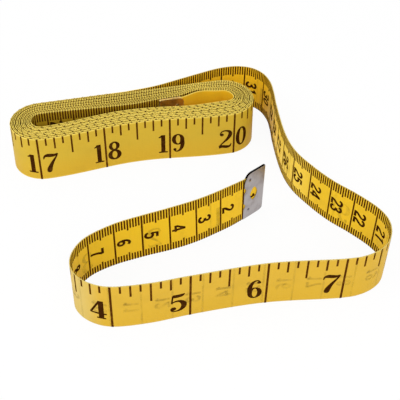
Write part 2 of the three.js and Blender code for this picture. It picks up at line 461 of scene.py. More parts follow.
def turned_over(shapes: Shapes, width: float) -> Shapes:
    """A digit's shapes turned half round, as a 9 is a 6.

    Args:
        shapes: The digit's shapes.
        width: The digit's width.

    Returns:
        The turned shapes.
    """
    done: list[Stroke | Ring] = []
    for shape in shapes:
        if isinstance(shape, Stroke):
            done.append(Stroke(tuple((width - x, 1 - y, pen) for x, y, pen in shape.nodes)))
        else:
            done.append(replace(shape, x=width - shape.x, y=1 - shape.y))
    return tuple(done)


def pen(width: float, *nodes: Pair) -> Stroke:
    """A stroke of one pen width through nodes of x and y."""
    return Stroke(tuple((x, y, width) for x, y in nodes))


BOOK_SIX = (
    Ring(0.31, 0.30, 0.28, 0.30, 0.115, 0.24),
    Stroke(((0.50, 0.88, 0.03), (0.43, 0.955, 0.05), (0.31, 0.955, 0.07), (0.19, 0.84, 0.12),
            (0.115, 0.62, 0.165), (0.115, 0.36, 0.17))),
    Ring(0.455, 0.855, 0.075, 0.07),
)
# The bold digits with serifs of the inch face
BOOK_DIGITS: dict[str, Shapes] = {
    "0": (Ring(0.30, 0.5, 0.29, 0.51, 0.125, 0.44),),
    "1": (
        pen(0.17, (0.21, 0.0), (0.21, 0.985)),
        Stroke(((0.01, 0.03, 0.055), (0.12, 0.035, 0.07), (0.21, 0.06, 0.12), (0.30, 0.035, 0.07),
                (0.41, 0.03, 0.055))),
        Stroke(((0.01, 0.85, 0.04), (0.10, 0.89, 0.08), (0.17, 0.93, 0.12))),
    ),
    "2": (
        Ring(0.13, 0.76, 0.09, 0.08),
        Stroke(((0.05, 0.78, 0.04), (0.11, 0.92, 0.06), (0.30, 0.975, 0.07), (0.49, 0.89, 0.13),
                (0.515, 0.73, 0.17), (0.39, 0.5, 0.12), (0.19, 0.3, 0.07), (0.03, 0.13, 0.045))),
        Stroke(((0.01, 0.075, 0.14), (0.17, 0.10, 0.14), (0.37, 0.065, 0.14), (0.50, 0.085, 0.10),
                (0.58, 0.23, 0.03))),
    ),
    "3": (
        Ring(0.125, 0.77, 0.085, 0.08),
        Stroke(((0.06, 0.79, 0.04), (0.11, 0.92, 0.055), (0.28, 0.97, 0.065), (0.44, 0.87, 0.13),
                (0.45, 0.73, 0.145), (0.34, 0.57, 0.07), (0.20, 0.53, 0.045))),
        Stroke(((0.20, 0.53, 0.045), (0.38, 0.50, 0.08), (0.48, 0.36, 0.165), (0.48, 0.2, 0.165),
                (0.38, 0.06, 0.09), (0.23, 0.03, 0.05), (0.09, 0.08, 0.05), (0.05, 0.17, 0.04))),
        Ring(0.125, 0.19, 0.09, 0.085),
    ),
    "4": (
        pen(0.185, (0.452, 0.06), (0.452, 1.02)),
        pen(0.075, (0.39, 0.99), (0.05, 0.35)),
        pen(0.075, (0.01, 0.33), (0.655, 0.33)),
        pen(0.06, (0.27, 0.09), (0.62, 0.09)),
    ),
    "5": (
        Stroke(((0.14, 0.87, 0.15), (0.34, 0.86, 0.15), (0.5, 0.885, 0.13), (0.6, 0.945, 0.03))),
        pen(0.06, (0.145, 0.91), (0.105, 0.48)),
        Stroke(((0.105, 0.51, 0.045), (0.23, 0.575, 0.07), (0.41, 0.565, 0.11), (0.55, 0.43, 0.19),
                (0.57, 0.28, 0.195), (0.48, 0.115, 0.14), (0.31, 0.03, 0.065), (0.13, 0.055, 0.055),
                (0.06, 0.14, 0.045))),
        Ring(0.16, 0.18, 0.115, 0.095),
    ),
    "6": BOOK_SIX,
    "7": (
        Stroke(((0.11, 0.75, 0.03), (0.145, 0.88, 0.08), (0.255, 0.935, 0.15), (0.425, 0.92, 0.16),
                (0.595, 0.92, 0.12), (0.725, 0.985, 0.05))),
        Stroke(((0.725, 0.98, 0.05), (0.635, 0.8, 0.07), (0.495, 0.58, 0.11), (0.38, 0.36, 0.16),
                (0.31, 0.16, 0.205), (0.30, 0.08, 0.19))),
        Ring(0.30, 0.09, 0.105, 0.09),
    ),
    "8": (Ring(0.32, 0.755, 0.245, 0.24, 0.10, 0.17), Ring(0.32, 0.275, 0.305, 0.28, 0.13, 0.20)),
    "9": turned_over(BOOK_SIX, 0.6),
}
PLAIN_SIX = (
    Ring(0.32, 0.31, 0.31, 0.31, 0.15, 0.16),
    pen(0.155, (0.57, 0.83), (0.43, 0.92), (0.26, 0.88), (0.12, 0.68), (0.085, 0.36)),
)
# The plain digits of the centimetre face, and the width that they are drawn to
PLAIN_WIDTH = 0.62
PLAIN_DIGITS: dict[str, Shapes] = {
    "0": (Ring(0.31, 0.5, 0.31, 0.5, 0.155, 0.345),),
    "1": (pen(0.165, (0.36, 0.0), (0.36, 1.0)), pen(0.13, (0.12, 0.77), (0.34, 0.93))),
    "2": (
        pen(0.155, (0.05, 0.72), (0.12, 0.87), (0.32, 0.925), (0.52, 0.83), (0.52, 0.66),
            (0.36, 0.45), (0.16, 0.25), (0.09, 0.07)),
        pen(0.15, (0.01, 0.075), (0.62, 0.075)),
    ),
    "3": (
        pen(0.155, (0.04, 0.75), (0.14, 0.89), (0.32, 0.925), (0.5, 0.84), (0.5, 0.67), (0.36, 0.54),
            (0.22, 0.53)),
        pen(0.155, (0.22, 0.53), (0.42, 0.49), (0.54, 0.36), (0.54, 0.22), (0.42, 0.1), (0.28, 0.075),
            (0.12, 0.11), (0.03, 0.26)),
    ),
    "4": (
        pen(0.155, (0.46, 0.0), (0.46, 1.0)),
        pen(0.14, (0.44, 0.95), (0.06, 0.32)),
        pen(0.14, (0.0, 0.27), (0.64, 0.27)),
    ),
    "5": (
        pen(0.15, (0.1, 0.925), (0.57, 0.925)),
        pen(0.13, (0.15, 0.97), (0.09, 0.5)),
        pen(0.155, (0.08, 0.5), (0.2, 0.59), (0.38, 0.59), (0.53, 0.46), (0.53, 0.26), (0.4, 0.1),
            (0.26, 0.075), (0.1, 0.12), (0.03, 0.26)),
    ),
    "6": PLAIN_SIX,
    "7": (
        pen(0.15, (0.0, 0.925), (0.62, 0.925)),
        pen(0.16, (0.55, 0.9), (0.37, 0.55), (0.28, 0.25), (0.25, 0.0)),
    ),
    "8": (Ring(0.31, 0.745, 0.27, 0.255, 0.125, 0.115), Ring(0.31, 0.285, 0.305, 0.285, 0.15, 0.14)),
    "9": turned_over(PLAIN_SIX, 0.63),
}


# The print
EDGE_MARGIN = 0.08 * MM


@dataclass
class Print:
    """The marks on a stretch of the strip, as thin closed slabs that stand a hair off its faces."""

    line: StripLine
    start: float
    stop: float
    proud: float = 0.022 * MM
    sunk: float = 0.03 * MM
    turned: int = 1
    points: list[Array] = field(default_factory=list)
    faces: list[Array] = field(default_factory=list)
    tones: list[Array] = field(default_factory=list)
    count: int = 0

    def add(self, tone: Tone, outer: Array, inner: Array) -> None:
        """Adds slabs of one tone between pairs of grids of points in space.

        Args:
            tone: The strength of the marks.
            outer: Points of the slabs' upper grids.
            inner: Points of their lower grids, in the same order.
        """
        points, faces = slabs(outer, inner)
        self.points.append(points)
        self.faces.append(faces + self.count)
        self.tones.append(np.full(len(faces), tone.value))
        self.count += len(points)

    def lay(self, tone: Tone, face: Face, along: Array, up: Array) -> None:
        """Lays grids of tape places on one face, or on the other where the print is turned.

        Args:
            tone: The strength of the marks.
            face: The face that the marks belong to.
            along: Distances from the tip, shaped (marks, rows, columns).
            up: Heights, in the same order.
        """
        half, side = self.line.thickness / 2, face.value * self.turned
        outer = self.line.place(along, np.full_like(along, side * (half + self.proud)), up)
        inner = self.line.place(along, np.full_like(along, side * (half - self.sunk)), up)
        self.add(tone, outer, inner)

    def move_to(self, start: float, stop: float) -> None:
        """Takes another stretch of the strip for the marks that follow."""
        self.start, self.stop = start, stop

    def spread(self, along: Array, wide: float) -> Array:
        """Grids of the two sides of each mark whose middle is on this stretch.

        Args:
            along: The middle of each mark.
            wide: The marks' width along the strip.

        Returns:
            Distances from the tip, shaped (marks, 2, 2).
        """
        middle = along[(along >= self.start) & (along < self.stop)]
        side = np.array([-wide / 2, wide / 2])
        return np.broadcast_to(middle[:, None, None] + side[:, None], (len(middle), 2, 2))

    def bars(self, face: Face, along: Array, wide: float, low: float, high: float) -> None:
        """Upright bars across a face, at distances from the tip.

        Args:
            face: The face that takes the bars.
            along: The middle of each bar.
            wide: The bars' width along the strip.
            low: Their lower end.
            high: Their upper end.
        """
        spread = self.spread(along, wide)
        if len(spread):
            self.lay(Tone.BARS, face, spread, np.broadcast_to(np.array([low, high]), spread.shape))

    def edge_marks(self, face: Face, along: Array, wide: float, reach: float) -> None:
        """The ends of the bars, where the print runs over the upper edge.

        Args:
            face: The face that the bars are on.
            along: The middle of each bar.
            wide: The marks' width along the strip.
            reach: How far over the edge they run, as a share of the strip's thickness.
        """
        spread = self.spread(along, wide)
        half, top = self.line.thickness / 2, self.line.width
        out = face.value * np.array([half + self.proud, half * (1 - 2 * reach)])
        levels = (np.array(top + rise) for rise in (self.proud, -self.sunk))
        outer, inner = (self.line.place(spread, out, level) for level in levels)
        self.add(Tone.BARS, outer, inner)

    def piece(self, name: str, finishes: tuple[Material, ...]) -> Object:
        """The marks so far as one object, with a finish for each tone.

        Args:
            name: The object's name.
            finishes: The finish of each tone.

        Returns:
            The object.
        """
        points, faces = np.concatenate(self.points), np.concatenate(self.faces)
        piece = new_mesh(name, points, faces.tolist(), sharp_degrees=40)
        for finish in finishes:
            piece.data.materials.append(finish)
        piece.data.polygons.foreach_set("material_index", np.concatenate(self.tones).astype(np.int32))
        return piece


@dataclass(frozen=True)
class InchScale:
    """The inch face: bars from the upper edge, a full line at each inch, and bold digits with serifs.

    The scale's zero lies just before the strip's tip. Each kind of bar stands at the odd multiples of a
    number of eighths, and reaches down by a share of the strip's width. A digit's width is a share of
    its height.
    """

    inch: float = 25.4 * MM
    zero: float = -1.1 * MM
    bar_width: float = 0.67 * MM
    line_width: float = 0.75 * MM
    bars: tuple[tuple[int, float], ...] = ((1, 0.165), (2, 0.26), (4, 0.43))
    digit_height: float = 8.7 * MM
    digit_foot: float = 3.1 * MM
    weight: float = 1.1
    gap_alone: float = 1.45 * MM
    gap_before: float = 0.85 * MM
    gap_after: float = 0.65 * MM
    own_widths: tuple[tuple[str, float], ...] = (("1", 0.42), ("4", 0.66), ("5", 0.645), ("7", 0.735))
    width: float = 0.60
    clear: float = 4 * MM

    def width_of(self, digit: str) -> float:
        """A digit's width along the strip."""
        return self.digit_height * dict(self.own_widths).get(digit, self.width)

    def eighths(self, line: StripLine) -> Array:
        """The number of each eighth of an inch on the strip."""
        return np.arange(1, int((line.whole_length - self.zero) / self.inch * 8) + 1)

    def spots(self, eighths: Array) -> Array:
        """The distances from the tip of numbered eighths of an inch."""
        return self.zero + eighths * self.inch / 8

    def digit(self, marks: Print, digit: str, start: float) -> None:
        """Lays one upright digit whose left side is at a distance from the tip.

        Args:
            marks: The print that takes it.
            digit: Which digit.
            start: The distance from the tip to its left side.
        """
        for shape in BOOK_DIGITS[digit]:
            grid = shape.patch(self.weight)[None] * self.digit_height
            along, up = start + grid[..., 0], self.digit_foot + grid[..., 1]
            marks.lay(Tone.DIGITS, Face.INCHES, along, up)

    def number(self, marks: Print, value: int) -> None:
        """Lays a number: one digit stands before its line, and two or three stand astride it.

        Args:
            marks: The print that takes it.
            value: The number.
        """
        text = str(value)
        line_spot = self.zero + value * self.inch
        before = text if len(text) == 1 else text[: len(text) // 2]
        gap = self.gap_alone if len(text) == 1 else self.gap_before
        spot = line_spot - gap - sum(self.width_of(digit) for digit in before)
        for index, digit in enumerate(text):
            if index == len(before):
                spot = line_spot + self.gap_after
            self.digit(marks, digit, spot)
            spot += self.width_of(digit)

    def bars_and_lines(self, marks: Print) -> None:
        """Lays the bars and the lines of the stretch that the marks are for.

        Args:
            marks: The print that takes them.
        """
        top = marks.line.width - EDGE_MARGIN
        eighths = self.eighths(marks.line)
        for every, share in self.bars:
            chosen = eighths[eighths % (2 * every) == every]
            low = marks.line.width * (1 - share)
            marks.bars(Face.INCHES, self.spots(chosen), self.bar_width, low, top)
        self.lines(marks)

    def lines(self, marks: Print) -> None:
        """Lays the full lines.

        Args:
            marks: The print that takes them.
        """
        eighths = self.eighths(marks.line)
        spots = self.spots(eighths[eighths % 8 == 0])
        marks.bars(Face.INCHES, spots, self.line_width, 0.0, marks.line.width - EDGE_MARGIN)

    def numbers(self, marks: Print) -> None:
        """Lays the numbers that have room on the stretch.

        Args:
            marks: The print that takes them.
        """
        start, stop = marks.start + self.clear, marks.stop - self.clear
        for value in range(1, len(self.eighths(marks.line)) // 8 + 1):
            if start < self.zero + value * self.inch < stop:
                self.number(marks, value)


@dataclass(frozen=True)
class CentimetreScale:
    """The centimetre face: bars from both edges, a full line at each centimetre, and plain digits.

    A number stands on its side just before its line, with its digits one under another. A bar reaches
    in from the upper and the lower edge by two shares of the strip's width, further at each half.
    """

    centimetre: float = 10 * MM
    last: float = 3.0
    bar_width: float = 0.58 * MM
    line_width: float = 0.64 * MM
    bar_reaches: Pair = (0.21, 0.168)
    half_bar_reaches: Pair = (0.255, 0.208)
    digit_height: float = 5.0 * MM
    digit_width: float = 2.7 * MM
    digit_step: float = 3.0 * MM
    weight: float = 1.3
    foot_gap: float = 0.75 * MM
    middle: float = 9.1 * MM
    three_digit_rise: float = 0.8 * MM

    def millimetres(self) -> Array:
        """The number of each millimetre on the strip."""
        return np.arange(1, round(self.last / MM) + 1)

    def number(self, marks: Print, value: int) -> None:
        """Lays a number. A digit's top points to the tip, and its right side points down.

        Args:
            marks: The print that takes it.
            value: The number.
        """
        text = str(value)
        reach = self.digit_step * (len(text) - 1) + self.digit_width
        top = self.middle + reach / 2 + self.three_digit_rise * (len(text) == 3)
        for index, digit in enumerate(text):
            side = top - index * self.digit_step
            for shape in PLAIN_DIGITS[digit]:
                grid = shape.patch(self.weight)[None]
                along = value * self.centimetre - self.foot_gap - grid[..., 1] * self.digit_height
                up = side - grid[..., 0] * self.digit_width / PLAIN_WIDTH
                marks.lay(Tone.DIGITS, Face.CENTIMETRES, along, up)

    def bars_and_lines(self, marks: Print) -> None:
        """Lays the bars and the lines of the stretch that the marks are for.

        Args:
            marks: The print that takes them.
        """
        width = marks.line.width
        count = self.millimetres()
        small, half = count[count % 5 != 0] * MM, count[count % 10 == 5] * MM
        for spots, (upper, lower) in ((small, self.bar_reaches), (half, self.half_bar_reaches)):
            marks.bars(Face.CENTIMETRES, spots, self.bar_width, width * (1 - upper), width - EDGE_MARGIN)
            marks.bars(Face.CENTIMETRES, spots, self.bar_width, 0.0, width * lower)
        self.lines(marks)

    def lines(self, marks: Print) -> None:
        """Lays the full lines.

        Args:
            marks: The print that takes them.
        """
        count = self.millimetres()
        spots = count[count % 10 == 0] * MM
        marks.bars(Face.CENTIMETRES, spots, self.line_width, 0.0, marks.line.width - EDGE_MARGIN)

    def numbers(self, marks: Print) -> None:
        """Lays the numbers whose lines are on the stretch.

        Args:
            marks: The print that takes them.
        """
        first = int(marks.start / self.centimetre) + 1
        last = int(min(marks.stop, self.last) / self.centimetre)
        for value in range(first, last + 1):
            self.number(marks, value)


# Finishes


class Signal:
    """A number in a shader. Python's operators on it add Math nodes."""

    def __init__(self, graph: "Graph", socket: NodeSocket) -> None:
        """Keeps the graph that the socket belongs to, and the socket."""
        self.graph = graph
        self.socket = socket

    def maths(self, operation: str, first: object, second: object = 0.0) -> "Signal":
        """The result of a Math node on one or two values, each a signal or a number."""
        node = self.graph.node("ShaderNodeMath", {"operation": operation}, {0: first, 1: second})
        return Signal(self.graph, node.outputs[0])

    def __add__(self, other: "Signal | float") -> "Signal":
        """Adds."""
        return self.maths("ADD", self, other)

    __radd__ = __add__

    def __sub__(self, other: "Signal | float") -> "Signal":
        """Takes away."""
        return self.maths("SUBTRACT", self, other)

    def __rsub__(self, other: float) -> "Signal":
        """Takes this from a number."""
        return self.maths("SUBTRACT", other, self)

    def __mul__(self, other: "Signal | float") -> "Signal":
        """Multiplies."""
        return self.maths("MULTIPLY", self, other)

    __rmul__ = __mul__

    def sine(self) -> "Signal":
        """The sine of this angle."""
        return self.maths("SINE", self)

    def at_most(self, limit: float) -> "Signal":
        """This, held down to a limit."""
        return self.maths("MINIMUM", self, limit)

    def rise(self, low: float, high: float) -> "Signal":
        """A smooth rise from 0 at low to 1 at high.

        Args:
            low: Where the rise starts.
            high: Where it ends.

        Returns:
            The rise.
        """
        settings = {"interpolation_type": "SMOOTHSTEP"}
        values = {"Value": self, "From Min": low, "From Max": high}
        node = self.graph.node("ShaderNodeMapRange", settings, values)
        return Signal(self.graph, node.outputs["Result"])

    def between(self, low: float, high: float, fade: float) -> "Signal":
        """1 between low and high, with a smooth fade to 0 inside each of them."""
        return self.rise(low, low + fade) * (1 - self.rise(high - fade, high))


class Graph:
    """The node tree of a material or of the world."""

    def __init__(self, owner: Material | World, output: str = "ShaderNodeOutputMaterial") -> None:
        """Starts the tree with an output node and nothing else.

        Args:
            owner: The material or the world that the tree belongs to.
            output: The type of the output node.
        """
        self.owner = owner
        owner.use_nodes = True
        self.tree = owner.node_tree
        self.tree.nodes.clear()
        self.output = self.node(output)

    def node(
        self,
        kind: str,
        settings: dict[str, object] | None = None,
        inputs: dict[str | int, object] | None = None,
    ) -> Node:
        """Adds a node.

        Args:
            kind: The node's type.
            settings: Its own properties, which are set first.
            inputs: What goes into its sockets, by name or number: values, sockets or signals.

        Returns:
            The new node.
        """
        node = self.tree.nodes.new(kind)
        for key, value in (settings or {}).items():
            setattr(node, key, value)
        for key, value in (inputs or {}).items():
            if isinstance(value, Signal):
                self.tree.links.new(value.socket, node.inputs[key])
            elif isinstance(value, NodeSocket):
                self.tree.links.new(value, node.inputs[key])
            else:
                node.inputs[key].default_value = value
        return node

    def signal(self, node: Node, output: str | int = 0) -> Signal:
        """One of a node's outputs as a number."""
        return Signal(self, node.outputs[output])

    def mix(self, share: Signal | float, first: object, second: object) -> NodeSocket:
        """A colour between two, by a share from 0 to 1.

        Args:
            share: How much of the second colour.
            first: The colour at 0.
            second: The colour at 1.

        Returns:
            The mixed colour.
        """
        settings = {"data_type": "RGBA", "clamp_factor": True}
        colours = [value + (1.0,) if isinstance(value, tuple) else value for value in (first, second)]
        node = self.node("ShaderNodeMix", settings, {0: share, 6: colours[0], 7: colours[1]})
        return node.outputs[2]

    def noise(self, place: object, scale: float, detail: float = 2.0, rough: float = 0.5) -> Signal:
        """Smooth noise from 0 to 1 at a place."""
        values = {"Vector": place, "Scale": scale, "Detail": detail, "Roughness": rough}
        return self.signal(self.node("ShaderNodeTexNoise", {}, values))

    def stretched(self, place: object, scale: Triple) -> NodeSocket:
        """A place with each direction scaled by its own number."""
        node = self.node("ShaderNodeVectorMath", {"operation": "MULTIPLY"}, {0: place, 1: scale})
        return node.outputs[0]

    def object_place(self) -> NodeSocket:
        """The place in the piece's own coordinates."""
        return self.node("ShaderNodeTexCoord").outputs["Object"]

    def bump(self, strength: float, distance: float, height: Signal) -> NodeSocket:
        """The normal of a surface with a relief."""
        values = {"Strength": strength, "Distance": distance, "Height": height}
        return self.node("ShaderNodeBump", {}, values).outputs[0]

    def finish(self, surface: Node) -> Material | World:
        """Joins a shader to the output and gives the tree's owner."""
        self.tree.links.new(surface.outputs[0], self.output.inputs["Surface"])
        return self.owner

    def principled(self, inputs: dict[str, object]) -> Material:
        """Gives the material a Principled shader with these inputs."""
        return self.finish(self.node("ShaderNodeBsdfPrincipled", {}, inputs))


@dataclass(frozen=True)
class CoatedCloth:
    """Woven cloth under a thin yellow coat, whose two faces and bare edge differ in colour."""

    centimetre_face: Colour = (0.88, 0.57, 0.012)
    # Painted light: the centimetre face behind the hank is painted brighter, as if lit through the cloth
    # from behind.
    centimetre_face_behind: Colour = (0.97, 0.57, 0.012)
    # Painted shade: the centimetre face inside the hank is painted darker, where the turns shade it.
    centimetre_face_within: Colour = (0.52, 0.32, 0.010)
    inch_face: Colour = (0.60, 0.405, 0.028)
    inch_face_free: Colour = (0.64, 0.39, 0.026)
    inch_face_low: Colour = (0.63, 0.385, 0.018)
    # Painted sheen: a pale greyish yellow on the outer sides of the folds.
    bent: Colour = (0.68, 0.53, 0.16)
    wound_edge: Colour = (0.88, 0.68, 0.12)
    free_edge: Colour = (0.60, 0.46, 0.11)
    # The cloth's soiling, in random patches.
    soil: Colour = (0.40, 0.25, 0.02)
    # Painted light: a paler coat over the bend, where the tape lies in shade.
    faded: Colour = (0.97, 0.70, 0.085)
    behind: Pair = (255 * MM, 285 * MM)
    wound: Pair = (350 * MM, 360 * MM)
    within: Pair = (500 * MM, 600 * MM)
    # Near the inner end most of the painted shade is taken off again, which paints the last stretch
    # lighter.
    inner_end: Pair = (2960 * MM, 2980 * MM)
    inner_end_share: float = 0.62
    folds: tuple[Pair, ...] = ((78 * MM, 99 * MM), (222 * MM, 252 * MM))
    fold_fade: float = 9 * MM
    faded_zone: Pair = (236 * MM, 300 * MM)
    faded_fade: float = 10 * MM
    low_band: Pair = (3 * MM, 12 * MM)
    # Painted highlight: thin pale bands along the foot and the top edge.
    worn_foot: Pair = (0.0, 0.8 * MM)
    worn_top: Pair = (18.2 * MM, 19 * MM)
    broad_scale: Triple = (90.0, 130.0, 0.5)
    streak_scale: Triple = (2600.0, 160.0, 0.5)
    fleck_scale: Triple = (1500.0, 1500.0, 0.5)
    roughness: float = 0.42
    thread: float = 0.36 * MM
    relief: float = 0.05 * MM

    def inches(self, graph: Graph, along: Signal, up: Signal, broad: Signal) -> NodeSocket:
        """The inch face's colour, which differs on the hank and low down, and has a painted sheen on the
        folds.

        Args:
            graph: The material's graph.
            along: The distance from the tip.
            up: The height.
            broad: A broad, soft noise.

        Returns:
            The colour.
        """
        colour = graph.mix(along.rise(*self.wound), self.inch_face_free, self.inch_face)
        low = (1 - up.rise(*self.low_band)) * (0.45 + 0.5 * broad)
        colour = graph.mix(low, colour, self.inch_face_low)
        for start, stop in self.folds:
            # Painted sheen on the outside of each fold, in soft patches.
            bend = along.between(start, stop, self.fold_fade)
            colour = graph.mix(bend * (0.35 + 0.45 * broad), colour, self.bent)
        return colour

    def centimetres(self, graph: Graph, along: Signal, broad: Signal) -> NodeSocket:
        """The centimetre face's colour, with painted light behind the hank, painted shade inside the
        hank that is mostly lifted near its inner end, and one more stretch painted lighter.

        Args:
            graph: The material's graph.
            along: The distance from the tip.
            broad: A broad, soft noise.

        Returns:
            The colour.
        """
        # Painted light behind the hank.
        behind = along.rise(*self.behind)
        colour = graph.mix(behind, self.centimetre_face, self.centimetre_face_behind)
        # Painted shade inside the hank, mostly lifted near the inner end.
        within = along.rise(*self.within) * (1 - self.inner_end_share * along.rise(*self.inner_end))
        colour = graph.mix(within, colour, self.centimetre_face_within)
        # Painted light: a paler stretch over the bend, in soft patches.
        faded = along.between(*self.faded_zone, self.faded_fade)
        return graph.mix(faded * (0.35 + 0.45 * broad), colour, self.faded)

    def material(self, name: str) -> Material:
        """Builds the material, which reads the strip's own tape places.

        Args:
            name: The material's name.

        Returns:
            The material.
        """
        graph = Graph(bpy.data.materials.new(name))
        place = graph.node("ShaderNodeAttribute", {"attribute_name": "tape_place"}).outputs["Vector"]
        parts = graph.node("ShaderNodeSeparateXYZ", {}, {0: place})
        along, up, side = (graph.signal(parts, index) for index in range(3))
        broad = graph.noise(graph.stretched(place, self.broad_scale), 1.0, 3.0)
        streak = graph.noise(graph.stretched(place, self.streak_scale), 1.0, 2.0)
        fleck = graph.noise(graph.stretched(place, self.fleck_scale), 1.0, 2.0, 0.7)
        inches = self.inches(graph, along, up, broad)
        centimetres = self.centimetres(graph, along, broad)
        colour = graph.mix(side.rise(0.3, 0.7), inches, centimetres)
        edge = graph.mix(along.rise(*self.wound), self.free_edge, self.wound_edge)
        # Painted highlight along the top and the foot, in the edge's colour, broken up by flecks.
        near_edge = up.rise(*self.worn_top) + (1 - up.rise(*self.worn_foot))
        colour = graph.mix(near_edge * (0.35 + 0.65 * fleck) * 0.75, colour, edge)
        colour = graph.mix(side.between(0.02, 0.98, 0.28), colour, edge)
        # Soiling in random patches, streaks and flecks.
        soiling = broad.rise(0.48, 0.78) * 0.16 + streak.rise(0.5, 0.8) * 0.10
        soiling = soiling + fleck.rise(0.55, 0.85) * 0.10
        colour = graph.mix(soiling, colour, self.soil)
        weft, warp = ((way * (2 * np.pi / self.thread)).sine() for way in (along, up))
        weave = weft * warp * 0.5 + fleck * 0.8
        return graph.principled({
            "Base Color": colour,
            "Roughness": self.roughness + 0.16 * broad + 0.1 * fleck,
            "Normal": graph.bump(0.22, self.relief, weave),
            "Specular IOR Level": 0.22,
        })


@dataclass(frozen=True)
class PrintInk:
    """Dark brown ink, worn a little through to the coat."""

    dark: Colour
    faded: Colour
    patch_scale: float = 420.0
    grain_scale: float = 3200.0

    def material(self, name: str) -> Material:
        """Builds the material on object coordinates.

        Args:
            name: The material's name.

        Returns:
            The material.
        """
        graph = Graph(bpy.data.materials.new(name))
        place = graph.object_place()
        patch = graph.noise(place, self.patch_scale, 3.0, 0.6)
        grain = graph.noise(place, self.grain_scale, 2.0, 0.6)
        fade = patch.rise(0.48, 0.72) * 0.5 + grain.rise(0.5, 0.8) * 0.35
        return graph.principled({
            "Base Color": graph.mix(fade, self.dark, self.faded),
            "Roughness": 0.5 + 0.2 * grain,
            "Specular IOR Level": 0.0,
        })


@dataclass(frozen=True)
class ShowThrough:
    """The other face's print, which shows faintly through the coat."""

    strength: float
    tint: Colour = (0.10, 0.08, 0.03)
    patch_scale: float = 260.0

    def material(self, name: str) -> Material:
        """Builds the material on object coordinates.

        Args:
            name: The material's name.

        Returns:
            The material.
        """
        graph = Graph(bpy.data.materials.new(name))
        patch = graph.noise(graph.object_place(), self.patch_scale, 3.0, 0.6)
        return graph.principled({
            "Base Color": self.tint + (1.0,),
            "Roughness": 0.6,
            "Specular IOR Level": 0.0,
            "Alpha": self.strength * (0.35 + 1.2 * patch.rise(0.3, 0.7)),
        })


@dataclass(frozen=True)
class FerruleSteel:
    """Thin plated steel with a fine drawn grain, duller in patches, with painted shade where it is
    pressed in.
    """

    bright: Colour
    dull: Colour
    roughness: float
    # Painted shade in the dimples, a dark purplish grey.
    soil: Colour = (0.075, 0.065, 0.095)
    grain_scale: Triple = (2600.0, 2600.0, 240.0)
    patch_scale: float = 320.0
    relief: float = 0.02 * MM

    def material(self, name: str) -> Material:
        """Builds the material on object coordinates, and on how far the sheet is pressed in.

        Args:
            name: The material's name.

        Returns:
            The material.
        """
        graph = Graph(bpy.data.materials.new(name))
        place = graph.object_place()
        grain = graph.noise(graph.stretched(place, self.grain_scale), 1.0, 3.0, 0.6)
        patch = graph.noise(place, self.patch_scale, 3.0, 0.55)
        colour = graph.mix(patch.rise(0.4, 0.8) * 0.6 + grain * 0.3, self.bright, self.dull)
        pressed = graph.signal(graph.node("ShaderNodeAttribute", {"attribute_name": "pressed"}), "Fac")
        # Painted shade: the dimples darken by how far they are pressed in.
        colour = graph.mix(pressed.rise(0.2, 0.8) * 0.85, colour, self.soil)
        return graph.principled({
            "Base Color": colour,
            "Metallic": 1.0,
            "Roughness": self.roughness + 0.14 * patch,
            "Normal": graph.bump(0.18, self.relief, grain + patch * 0.6),
        })


@dataclass(frozen=True)
class BareSteel:
    """The steel's cut edge and its inner side, near black above a height: painted shade for the dark gap
    between the two plates.
    """

    bare: Colour = (0.36, 0.29, 0.20)
    # Painted shade: the near-black top, for the dark gap between the plates.
    blackened: Colour = (0.008, 0.006, 0.005)
    black: Pair = (16.9 * MM, 17.5 * MM)
    patch_scale: float = 900.0

    def material(self, name: str) -> Material:
        """Builds the material on object coordinates.

        Args:
            name: The material's name.

        Returns:
            The material.
        """
        graph = Graph(bpy.data.materials.new(name))
        place = graph.object_place()
        height = graph.signal(graph.node("ShaderNodeSeparateXYZ", {}, {0: place}), 2)
        patch = graph.noise(place, self.patch_scale)
        # Painted shade of the gap between the plates, above a height.
        black = height.rise(*self.black)
        return graph.principled({
            "Base Color": graph.mix(black, self.bare, self.blackened),
            "Metallic": 1 - black,
            "Roughness": 0.4 + 0.2 * patch,
            "Specular IOR Level": 0.0,
        })


PLATED = FerruleSteel(bright=(0.43, 0.40, 0.40), dull=(0.28, 0.24, 0.235), roughness=0.26)
# The inner ferrule's yellow-brown steel is a painted reflection of the yellow tape around it.
TAPE_REFLECTING_STEEL = FerruleSteel(bright=(0.88, 0.65, 0.24), dull=(0.56, 0.38, 0.11), roughness=0.24)
DIGIT_INK = PrintInk(dark=(0.040, 0.012, 0.002), faded=(0.14, 0.065, 0.010))
BAR_INK = PrintInk(dark=(0.072, 0.022, 0.003), faded=(0.21, 0.092, 0.011))


@dataclass
class Finishes:
    """The part's materials, each built once."""

    cloth: Material = field(init=False)
    ink: tuple[Material, ...] = field(init=False)
    through: tuple[Material, ...] = field(init=False)
    steel: tuple[Material, ...] = field(init=False)
    inner_steel: tuple[Material, ...] = field(init=False)

    def __post_init__(self) -> None:
        """Builds every material: print's for each tone, a ferrule's for its outside and bare steel."""
        self.cloth = CoatedCloth().material("coated_cloth")
        self.ink = (DIGIT_INK.material("digit_ink"), BAR_INK.material("bar_ink"))
        self.through = (
            ShowThrough(0.14).material("digits_showing_through"),
            ShowThrough(0.08).material("lines_showing_through"),
        )
        self.steel = (PLATED.material("ferrule_steel"), BareSteel().material("ferrule_edge"))
        tape_reflecting = TAPE_REFLECTING_STEEL.material("inner_ferrule_steel")
        self.inner_steel = (tape_reflecting, tape_reflecting)


# The strip's pieces


@dataclass(frozen=True)
class Motion:
    """How a stretch goes: with one body, or across a hinge from one body to the next, where only the
    bend's two ends are kept and the piece is tied to neither.
    """

    body: str
    next_body: str = ""
    start: Triple = (0.0, 0.0, 0.0)
    end: Triple = (0.0, 0.0, 0.0)

    def apply(self, piece: Object) -> None:
        """Ties a piece to its body, or, for a stretch across a hinge, only bakes its placement into its
        points.

        Args:
            piece: The piece to tie.
        """
        if self.next_body:
            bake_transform(piece)
        else:
            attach(piece, self.body)


